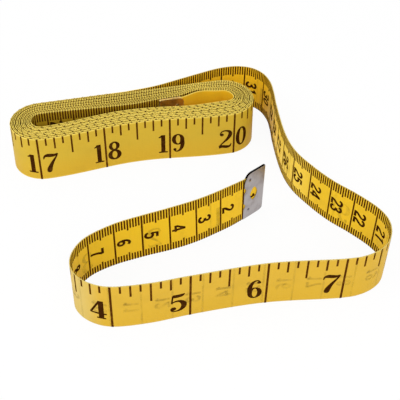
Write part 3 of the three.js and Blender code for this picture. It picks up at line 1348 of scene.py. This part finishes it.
@dataclass
class Stretch:
    """One stretch of the strip: the cloth, with rounded edges, and the print on it."""

    name: str
    line: StripLine
    start: float
    stop: float
    nodes: tuple[str, ...]
    motion: Motion
    held: str = "laid"
    step: float = 0.6 * MM
    edge_round: float = 0.09 * MM
    through_proud: float = 0.008 * MM

    def cloth(self) -> Object:
        """The cloth as a closed ribbon.

        A section of eight points, a rectangle with its corners cut off, is carried along the strip's
        line, and each end is closed with one face. Each point keeps its tape place: the distance
        along, the height, and 0 on the inch face, 1 on the centimetre face or a half on the edge.

        Returns:
            The cloth.
        """
        half, cut, high = self.line.thickness / 2, self.edge_round, self.line.width
        out = np.array([-half, -half, cut - half, half - cut, half, half, half - cut, cut - half])
        up = np.array([cut, high - cut, high, high, high - cut, cut, 0.0, 0.0])
        side = np.array([0.0, 0.0, 0.5, 0.5, 1.0, 1.0, 0.5, 0.5])
        count = max(int((self.stop - self.start) / self.step), 2) + 1
        along = np.linspace(self.start, self.stop, count)
        points = self.line.place(along[:, None], out[None], up[None])
        corners = len(out)
        rings = (np.arange(count - 1)[:, None] * corners + np.arange(corners)).reshape(-1)
        turn = np.where(rings % corners == corners - 1, rings + 1 - corners, rings + 1)
        faces = np.stack((rings, rings + corners, turn + corners, turn), axis=1).tolist()
        faces.append(list(range(corners)))
        faces.append([(count - 1) * corners + index for index in range(corners - 1, -1, -1)])
        piece = new_mesh(self.name, points.reshape(-1, 3), faces, sharp_degrees=30)
        places = np.stack(np.broadcast_arrays(along[:, None], up[None], side[None]), axis=-1)
        attribute = piece.data.attributes.new("tape_place", "FLOAT_VECTOR", "POINT")
        attribute.data.foreach_set("vector", places.astype(np.float32).ravel())
        return piece

    def build(
        self,
        finishes: Finishes,
        lay_print: Callable[[Print], None],
        lay_through: Callable[[Print], None] | None = None,
    ) -> None:
        """Args:
            finishes: The part's materials.
            lay_print: What lays the marks that this stretch shows.
            lay_through: What lays the marks that show through from the other face, if any do.
        """
        length = self.stop - self.start
        cloth = self.cloth()
        cloth.data.materials.append(finishes.cloth)
        self.motion.apply(cloth)
        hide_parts(*self.nodes)
        marks = Print(self.line, self.start, self.stop)
        lay_print(marks)
        pieces = [marks.piece(self.name.replace("cloth", "print"), finishes.ink)]
        if lay_through:
            marks = Print(self.line, self.start, self.stop, proud=self.through_proud, turned=-1)
            lay_through(marks)
            pieces.append(marks.piece(self.name.replace("cloth", "print_through"), finishes.through))
        for piece in pieces:
            self.motion.apply(piece)
        faces = sum(len(piece.data.polygons) for piece in pieces)
        LOG.info("%s: %.0f mm, %d print faces", self.name, length / MM, faces)


@dataclass
class Strip:
    """The whole strip, in the stretches that the folds' hinges give it."""

    line: StripLine
    inches: InchScale = InchScale()
    centimetres: CentimetreScale = CentimetreScale()
    zone: float = 5 * MM
    wide_zone: float = 9 * MM
    seams: tuple[float, ...] = (9.5, 15.5, 20.5, 28.0)
    past_zone: float = 1 * MM
    bare_tip: float = 0.7 * MM
    edge_mark: float = 0.6 * MM
    shown: float = 220 * MM
    edge_reach: float = 0.2

    def bend(self, number: int, body: str, next_body: str, reach: float) -> Motion:
        """The motion of a stretch that bends round a numbered point of the route.

        Args:
            number: The point of the route.
            body: The body on the hank's side.
            next_body: The body on the tip's side.
            reach: How far the bend reaches along the strip to each side of the point.

        Returns:
            The motion.
        """
        spots = self.line.mark(number) + np.array([reach, -reach])
        start, end = self.line.place(spots, np.array(0.0), np.array(self.line.width / 2))
        return Motion(body, next_body, tuple(start.tolist()), tuple(end.tolist()))

    def both_faces(self, marks: Print) -> None:
        """Lays both scales.

        Args:
            marks: The print that takes them.
        """
        for scale in (self.inches, self.centimetres):
            scale.bars_and_lines(marks)
            scale.numbers(marks)

    def both_through(self, marks: Print) -> None:
        """Lays what shows through of both scales: the lines and the numbers.

        Args:
            marks: The print that takes them.
        """
        for scale in (self.inches, self.centimetres):
            scale.lines(marks)
            scale.numbers(marks)

    def hank_faces(self, marks: Print) -> None:
        """Lays every bar, their ends over the edge, and the outer and inner turns' numbers.

        Args:
            marks: The print that takes them.
        """
        start, stop = marks.start, marks.stop
        self.inches.bars_and_lines(marks)
        self.centimetres.bars_and_lines(marks)
        millimetres = self.centimetres.millimetres() * MM
        marks.edge_marks(Face.CENTIMETRES, millimetres, self.edge_mark, self.edge_reach)
        eighths = self.inches.spots(self.inches.eighths(self.line))
        marks.edge_marks(Face.INCHES, eighths, self.edge_mark, self.edge_reach)
        marks.move_to(start, start + self.shown)
        self.inches.numbers(marks)
        marks.move_to(stop - self.shown, stop)
        self.centimetres.numbers(marks)

    def build(self, finishes: Finishes) -> None:
        """Builds every stretch, from the tip to the hank's inner end.

        Args:
            finishes: The part's materials.
        """
        line = self.line
        join = line.free_length + self.zone + self.past_zone
        seams = [line.mark(number) for number in self.seams]
        ends = (self.bare_tip, *seams, join)
        bends = (
            ("tip_run", ("tip_run",), self.bend(7, "left_fold", "tip_stretch", self.zone)),
            ("left_fold", ("left_fold",), self.bend(12, "front_stretch", "left_fold", self.zone)),
            ("front_run", ("front_run",), self.bend(18, "right_fold", "front_stretch", self.wide_zone)),
            (
                "right_run", ("right_fold", "right_run"),
                self.bend(23, "back_stretch", "right_fold", self.wide_zone),
            ),
            ("back_bend", ("back_bend",), self.bend(39, "hank", "back_stretch", self.zone)),
        )
        for (name, nodes, motion), start, stop in zip(bends, ends[:-1], ends[1:]):
            stretch = Stretch(name + "_cloth", line, start, stop, nodes, motion)
            stretch.build(finishes, self.both_faces, self.both_through)
        end, motion = line.whole_length, Motion("hank")
        hank = Stretch("wound_hank_cloth", line, join, end, ("wound_hank",), motion, held="folded")
        hank.build(finishes, self.hank_faces)


# The ferrules, and the kind and the tolerance of their triangulation
TRIANGLES_INSIDE = 1
CORNER_TOLERANCE = 1e-5


@dataclass
class Ferrule:
    """A folded strip of plated steel that is crimped over one end of the cloth.

    It is drawn flat, as an outline with a pointed hole in each half, then folded round the tip.
    """

    name: str
    node: str
    body: str
    line: StripLine
    strip_end: float
    inward: int
    height: float
    beyond: float = 0.0
    length: float = 10 * MM
    sheet: float = 0.24 * MM
    bend_radius: float = 0.31 * MM
    corner: float = 2.6 * MM
    shoulder_drop: float = 3.2 * MM
    shoulder_run: float = 3.0 * MM
    slant: float = 0.0
    notch_half_height: float = 1.3 * MM
    notch_depth: float = 0.8 * MM
    notch_shares: Pair = (0.33, 0.72)
    hole_half_width: float = 1.8 * MM
    hole_half_height: float = 3.0 * MM
    hole_from_tip: float = 5.3 * MM
    hole_height_share: float = 0.5
    hole_corners: int = 24
    hole_pinch: float = 0.09
    curve_steps: int = 8
    grid: float = 0.25 * MM
    clear_share: float = 0.6
    dimple_radius: float = 1.05 * MM
    dimple_depth: float = 0.24 * MM
    dimple_from_tip: float = 7.4 * MM
    low_dimple: float = 3.6 * MM
    high_dimple_drop: float = 2.9 * MM

    def half_outline(self) -> Array:
        """One half's border in x from the tip and z, from the fold's foot round to the fold's top.

        Returns:
            The border's points, one row each.
        """
        def curve(first: Pair, pull: Pair, last: Pair) -> Array:
            """A quadratic curve from the first point to the last, pulled towards the one between."""
            share = np.linspace(0, 1, self.curve_steps + 1)[:, None]
            return (1 - share) ** 2 * first + 2 * share * (1 - share) * pull + share**2 * last

        length, height, corner = self.length, self.height, self.corner
        shoulder = (length, height - self.shoulder_drop)
        sharp, reach = corner / 4, self.notch_half_height
        pull = length - 2 * self.notch_depth
        bend = (length - self.shoulder_run / 3, height)
        parts = [curve((0, corner), (0, 0), (corner, 0)), np.array([[length, 0]])]
        for share in self.notch_shares:
            middle = self.line.width * share
            parts.append(curve((length, middle - reach), (pull, middle), (length, middle + reach)))
        parts.append(curve(shoulder, bend, (length - self.shoulder_run, height)))
        parts.append(curve((sharp, height), (0, height), (0, height - sharp)))
        return np.concatenate(parts)

    def flat_drawing(self) -> tuple[Array, list[Array]]:
        """The whole border in the flat, and the borders of the holes.

        Returns:
            The border, and a list of the two holes' borders.
        """
        half = self.half_outline()
        border = np.concatenate((half, (half * np.array([-1, 1]))[::-1][1:-1]))
        angle = np.linspace(0, 2 * np.pi, self.hole_corners, endpoint=False)
        pointed = 1 - self.hole_pinch * np.abs(np.sin(2 * angle))
        half_size = np.array([self.hole_half_width, self.hole_half_height])
        leaf = np.stack((np.cos(angle), np.sin(angle)), axis=1) * half_size * pointed[:, None]
        middle = np.array([self.hole_from_tip, self.height * self.hole_height_share])
        return border, [leaf + middle, leaf * np.array([-1, 1]) + middle * np.array([-1, 1])]

    def inside(self, points: Array, border: Array) -> Array:
        """Whether each point lies inside a border, by counting its crossings with a ray along x.

        Args:
            points: The points in question.
            border: The corners of a closed border.

        Returns:
            True for each point inside.
        """
        ahead = np.roll(border, -1, axis=0)
        x, z = points[:, :1], points[:, 1:]
        crosses = (border[:, 1] > z) != (ahead[:, 1] > z)
        with np.errstate(divide="ignore", invalid="ignore"):
            share = (z - border[:, 1]) / (ahead[:, 1] - border[:, 1])
            where = border[:, 0] + share * (ahead[:, 0] - border[:, 0])
        return (crosses & (x < where)).sum(axis=1) % 2 == 1

    def in_sheet(self, points: Array, border: Array, holes: list[Array]) -> Array:
        """Whether each point lies inside the border and in none of the holes."""
        in_hole = np.any([self.inside(points, hole) for hole in holes], axis=0)
        return self.inside(points, border) & ~in_hole

    def triangulated(self) -> tuple[Array, Array]:
        """The flat sheet in triangles.

        The border, the holes and a grid of points between them are joined by a constrained Delaunay
        triangulation, in millimetres. Grid points too near a border are left out, and so are the
        triangles in the holes.

        Returns:
            The points, x from the fold and z, and the corners of each triangle.
        """
        border, holes = self.flat_drawing()
        x = np.arange(-self.length, self.length, self.grid)
        z = np.arange(self.grid / 2, self.height, self.grid)
        fill = np.stack(np.meshgrid(x, z), axis=-1).reshape(-1, 2)
        keep = self.in_sheet(fill, border, holes)
        points, edges, first = [], [], 0
        for edge in (border, *holes):
            gap = np.linalg.norm(fill[:, None] - edge[None], axis=2).min(axis=1)
            keep &= gap > self.grid * self.clear_share
            number = np.arange(len(edge))
            edges.append(np.stack((number, np.roll(number, -1)), axis=1) + first)
            points.append(edge)
            first += len(edge)
        corners = [Vector(point) for point in np.concatenate((*points, fill[keep])) / MM]
        lines = np.concatenate(edges).tolist()
        result = delaunay_2d_cdt(corners, lines, [], TRIANGLES_INSIDE, CORNER_TOLERANCE)
        flat = np.array([tuple(point) for point in result[0]]) * MM
        faces = np.array([list(face) for face in result[2]])
        solid = self.in_sheet(flat[faces].mean(axis=1), border, holes)
        return flat, faces[solid][:, ::-1]

    def pressed(self, flat: Array) -> Array:
        """How far points of the flat sheet are pressed in, from 0 to 1 in the middle of a dimple.

        A dimple is a round hollow whose depth falls off as the cosine squared of the distance from its
        middle.

        Args:
            flat: Points of the flat sheet, x from the fold and z.

        Returns:
            The share for each point.
        """
        share = np.zeros(len(flat))
        for height in (self.low_dimple, self.height - self.high_dimple_drop):
            distance = np.hypot(np.abs(flat[:, 0]) - self.dimple_from_tip, flat[:, 1] - height)
            share += np.cos(np.clip(distance / self.dimple_radius, 0, 1) * np.pi / 2) ** 2
        return share

    def folded(self, flat: Array) -> Array:
        """Folds the flat sheet round the tip, and presses the dimples in.

        Where the distance from the fold is under a quarter turn of the bend, the sheet follows the
        bend. Past it, the sheet is flat at one radius from the middle. The tip leans out by the slant,
        in proportion to the height over its middle, and the rear doesn't.

        Args:
            flat: Points of the flat sheet, x from the fold and z.

        Returns:
            Points in the ferrule's own frame: x from the tip, y across the cloth, z up.
        """
        radius = self.bend_radius
        quarter = radius * np.pi / 2
        away, z = np.abs(flat[:, 0]), flat[:, 1]
        angle = np.minimum(away, quarter) / radius
        x = radius * (1 - np.cos(angle)) + np.maximum(away - quarter, 0)
        y = radius * np.sin(angle) - self.dimple_depth * self.pressed(flat)
        x -= self.slant * (z - self.height / 2) * (1 - x / self.length)
        return np.stack((x, np.where(flat[:, 0] < 0, -y, y), z), axis=1)

    def placed(self, spots: Array) -> Array:
        """Moves points of the ferrule's own frame to its end of the strip.

        Args:
            spots: Points of the ferrule's own frame.

        Returns:
            The points in space.
        """
        ends = np.array([self.strip_end, self.strip_end + self.inward * self.length / 2])
        start, ahead = self.line.place(ends, np.array(0.0), np.array(0.0))
        top = self.line.place(ends[0], np.array(0.0), np.array(self.line.width))
        forward = (ahead - start) / np.linalg.norm(ahead - start)
        rise = (top - start) / np.linalg.norm(top - start)
        across = np.cross(rise, forward)
        return start - forward * self.beyond + spots @ np.stack((forward, across, rise))

    def build(self, finishes: tuple[Material, ...]) -> None:
        """Builds, dresses and places the ferrule.

        Args:
            finishes: The finish of the sheet's outer side, and that of its cut edge and inner side.
        """
        flat, faces = self.triangulated()
        piece = new_mesh(self.name, self.placed(self.folded(flat)), faces.tolist(), sharp_degrees=50)
        attribute = piece.data.attributes.new("pressed", "FLOAT", "POINT")
        attribute.data.foreach_set("value", self.pressed(flat).astype(np.float32))
        wall = piece.modifiers.new("sheet", "SOLIDIFY")
        wall.thickness = self.sheet
        wall.offset = 0.0
        wall.use_even_offset = True
        wall.material_offset = 1
        wall.material_offset_rim = 1
        for finish in finishes:
            piece.data.materials.append(finish)
        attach(piece, self.body)
        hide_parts(self.node)
        LOG.info("%s: %d faces", self.name, len(piece.data.polygons))


# The stage


@dataclass(frozen=True)
class Lamp:
    """A square soft lamp that faces the object."""

    name: str
    place: Triple
    size: float
    power: float

    def build(self) -> None:
        """Builds the lamp."""
        data = bpy.data.lights.new(self.name, "AREA")
        data.size = self.size
        data.energy = self.power
        lamp = bpy.data.objects.new(self.name, data)
        lamp.location = self.place
        lamp.rotation_euler = (-Vector(self.place)).to_track_quat("-Z", "Y").to_euler()
        bpy.context.scene.collection.objects.link(lamp)


@dataclass(frozen=True)
class Stage:
    """A white floor, plain soft light, and the camera at the photograph's angle.

    Angles are in radians, and the focal length and the sensor's width in millimetres.
    """

    focal_length: float = 73.155
    sensor: float = 36.0
    elevation: float = 0.7462
    roll: float = -0.0215
    distance: float = 305.53 * MM
    target: Triple = (4.4 * MM, -0.6 * MM, 0.0)
    nearest: float = 10 * MM
    floor_radius: float = 3.0
    floor_corners: int = 96
    floor_drop: float = 0.02 * MM
    floor_white: float = 0.86
    floor_glow: float = 0.93
    sky: float = 0.85
    lamps: tuple[Lamp, ...] = (
        Lamp("key_light", (0.15, -0.75, 0.70), size=0.5, power=2.8),
        Lamp("fill_light", (-0.65, -0.30, 0.70), size=0.6, power=2.5),
        Lamp("side_light", (0.70, -0.60, 0.40), size=0.5, power=0.8),
    )

    def camera(self) -> None:
        """Sets the camera on its own line of sight, which meets the floor at the target."""
        sine, cosine = np.sin(self.elevation), np.cos(self.elevation)
        forward = np.array([0, cosine, -sine])
        right, down = np.array([1, 0, 0]), np.array([0, -sine, -cosine])
        level, tipped = np.cos(self.roll), np.sin(self.roll)
        across, below = level * right + tipped * down, level * down - tipped * right
        place = np.array(self.target) - self.distance * forward
        data = bpy.data.cameras.new("camera")
        data.lens = self.focal_length
        data.sensor_width = self.sensor
        data.clip_start = self.nearest
        camera = bpy.data.objects.new("camera", data)
        columns = np.stack((across, -below, -forward, place), axis=1)
        camera.matrix_world = Matrix(np.vstack((columns, [0, 0, 0, 1])).tolist())
        bpy.context.scene.collection.objects.link(camera)
        bpy.context.scene.camera = camera

    def floor(self) -> None:
        """A wide white disc. To the camera and in metal it glows white, with some of its shadow left."""
        corners = self.floor_corners
        angle = np.linspace(0, 2 * np.pi, corners, endpoint=False)
        ring = np.stack((np.cos(angle), np.sin(angle), np.zeros_like(angle)), axis=1)
        points = np.concatenate((ring * self.floor_radius, [[0, 0, 0]])) - [0, 0, self.floor_drop]
        number = np.arange(corners)
        faces = np.stack((number, np.roll(number, -1), np.full(corners, corners)), axis=1)
        floor = new_mesh("floor", points, faces.tolist(), sharp_degrees=30)
        graph = Graph(bpy.data.materials.new("white_floor"))
        path = graph.node("ShaderNodeLightPath")
        seen = graph.signal(path, "Is Camera Ray") + graph.signal(path, "Is Glossy Ray")
        seen = (seen + graph.signal(path, "Is Transmission Ray")).at_most(1.0)
        white = (self.floor_white, self.floor_white, self.floor_white, 1.0)
        plain = graph.node("ShaderNodeBsdfDiffuse", {}, {"Color": white}).outputs[0]
        glow = graph.node("ShaderNodeEmission", {}, {"Color": WHITE, "Strength": 1.0}).outputs[0]
        both = graph.node("ShaderNodeMixShader", {}, {0: seen * self.floor_glow, 1: plain, 2: glow})
        floor.data.materials.append(graph.finish(both))

    def world(self) -> None:
        """An even white sky, at full white where the camera sees it."""
        graph = Graph(bpy.data.worlds.new("studio"), "ShaderNodeOutputWorld")
        seen = graph.signal(graph.node("ShaderNodeLightPath"), "Is Camera Ray")
        level = self.sky + (1 - self.sky) * seen
        back = graph.node("ShaderNodeBackground", {}, {"Color": WHITE, "Strength": level})
        bpy.context.scene.world = graph.finish(back)

    def build(self) -> None:
        """Builds the camera, the floor and the light."""
        self.camera()
        self.floor()
        self.world()
        for lamp in self.lamps:
            lamp.build()
        bpy.context.scene.view_settings.view_transform = "Standard"


def main() -> None:
    """Builds the stage, the strip and the ferrules, and notes the sizes."""
    logging.basicConfig(level=logging.INFO, format="%(message)s")
    Stage().build()
    line = StripLine()
    finishes = Finishes()
    LOG.info("strip: %.1f mm, of which free %.1f mm", line.whole_length / MM, line.free_length / MM)
    Strip(line).build(finishes)
    tip = Ferrule(
        "tip_ferrule_steel", "tip_ferrule", "tip_stretch", line,
        strip_end=0.0, inward=1, height=20.8 * MM, slant=0.01,
    )
    tip.build(finishes.steel)
    inner = Ferrule(
        "inner_ferrule_steel", "inner_ferrule", "hank", line,
        strip_end=line.whole_length, inward=-1, height=19.2 * MM, beyond=0.9 * MM,
        shoulder_drop=1.7 * MM, shoulder_run=1.8 * MM, high_dimple_drop=3.6 * MM,
    )
    inner.build(finishes.inner_steel)


if __name__ == "__main__":
    main()
